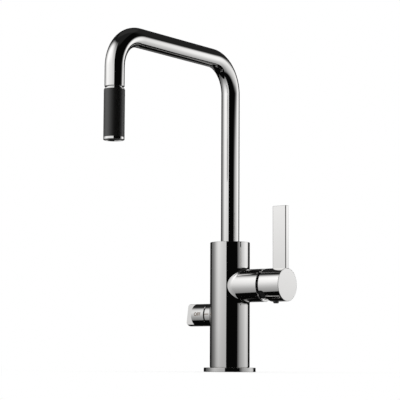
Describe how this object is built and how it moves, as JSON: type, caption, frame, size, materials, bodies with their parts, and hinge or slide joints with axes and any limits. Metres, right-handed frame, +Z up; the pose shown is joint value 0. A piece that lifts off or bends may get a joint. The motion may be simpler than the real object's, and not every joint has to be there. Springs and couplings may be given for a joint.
{
  "type": "kitchen mixer tap",
  "caption": "Chrome kitchen mixer tap with a swivelling bent spout, a pull-out hand spray, a side lever and a small side shut-off valve.",
  "frame": {"origin": "centre of the column's underside on the worktop, on the spout's swivel axis", "axes": "+Z up, spout towards -Y, lever towards +X, side valve towards -X"},
  "size_m": [0.143, 0.2543, 0.382],
  "materials": {
    "chrome": "polished chrome plate on brass",
    "raw_brass": "machined, unplated",
    "steel": "plain stainless steel",
    "black_rubber": "matt black rubber",
    "black_plastic": "matt black moulded",
    "pale_plastic": "off-white moulded",
    "white_ceramic": null,
    "hose_grey": "grey braided hose under a clear jacket"
  },
  "bodies": {
    "tap_body": {"body_column": "chrome", "base_flange": "chrome", "base_gasket": "black_rubber", "spout_thrust_washer": "pale_plastic", "lower_bush": "pale_plastic", "friction_ring": "black_rubber", "upper_bush": "pale_plastic", "trim_ring": "chrome", "spout_stop_screw": "steel", "cartridge_base": "pale_plastic", "cartridge_seals": "black_rubber", "fixed_disc": "white_ceramic", "cartridge_housing": "pale_plastic", "housing_o_ring": "black_rubber", "cartridge_nut": "chrome", "dome_ring": "chrome", "valve_headwork": "raw_brass", "valve_seat_seal": "black_rubber", "valve_fixed_disc": "white_ceramic", "valve_o_ring": "black_rubber"},
    "spout": {"spout_tube": "chrome", "spout_foot_ring": "raw_brass", "dock_sleeve": "black_plastic", "pull_out_hose": "hose_grey", "hose_outlet_run": "hose_grey"},
    "hose_end": {"hose_ferrule": "steel", "hose_end_stem": "raw_brass", "hose_stem_o_ring": "black_rubber"},
    "spray_head": {"swivel_nut": "raw_brass", "inlet_washer": "black_rubber", "spray_core": "chrome", "spray_collar": "chrome", "check_valve": "pale_plastic", "rubber_grip": "black_rubber", "outlet_ring": "chrome", "aerator_seal": "black_rubber", "aerator_housing": "black_plastic", "aerator_screen": "steel"},
    "lever_carrier": {"cartridge_rotor": "black_plastic", "pivot_pin": "steel"},
    "disc_slider": {"moving_disc": "white_ceramic", "disc_carriage": "pale_plastic"},
    "lever": {"lever_stem": "steel", "lever_handle": "chrome", "lever_blade": "chrome", "handle_grub_screw": "steel", "screw_plug": "black_plastic"},
    "side_knob": {"valve_spindle": "raw_brass", "valve_moving_disc": "white_ceramic", "spindle_clip": "steel", "valve_knob": "chrome", "knob_grub_screw": "steel"}
  },
  "joints": [
    {"name": "spout_swivel", "type": "hinge", "parent": "tap_body", "child": "spout", "pos_m": [0, 0, 0.14], "axis": [0, 0, 1], "range_deg": [-60, 60]},
    {"name": "spray_pull", "type": "slide", "parent": "spout", "child": "hose_end", "axis": [0, 0, -1], "range_m": [0, 0.2], "deforming": ["hose_outlet_run"]},
    {"name": "spray_turn", "type": "hinge", "parent": "hose_end", "child": "spray_head", "pos_m": [0, -0.212, 0.3], "axis": [0, 0, 1], "continuous": true},
    {"name": "lever_temperature", "type": "hinge", "parent": "tap_body", "child": "lever_carrier", "pos_m": [0.04, 0, 0.101], "axis": [1, 0, 0], "range_deg": [-45, 45]},
    {"name": "lever_flow", "type": "hinge", "parent": "lever_carrier", "child": "lever", "pos_m": [0.0453, 0, 0.101], "axis": [0, 1, 0], "range_deg": [0, 22]},
    {"name": "disc_slide", "type": "slide", "parent": "lever_carrier", "child": "disc_slider", "axis": [0, 0, 1], "range_m": [0, 0.0045]},
    {"name": "valve_turn", "type": "hinge", "parent": "tap_body", "child": "side_knob", "pos_m": [-0.03, 0, 0.0675], "axis": [-1, 0, 0], "range_deg": [0, 90]}
  ],
  "couplings": [
    {"joint": "disc_slide", "follows": "lever_flow", "m_per_rad": 0.011707}
  ]
}
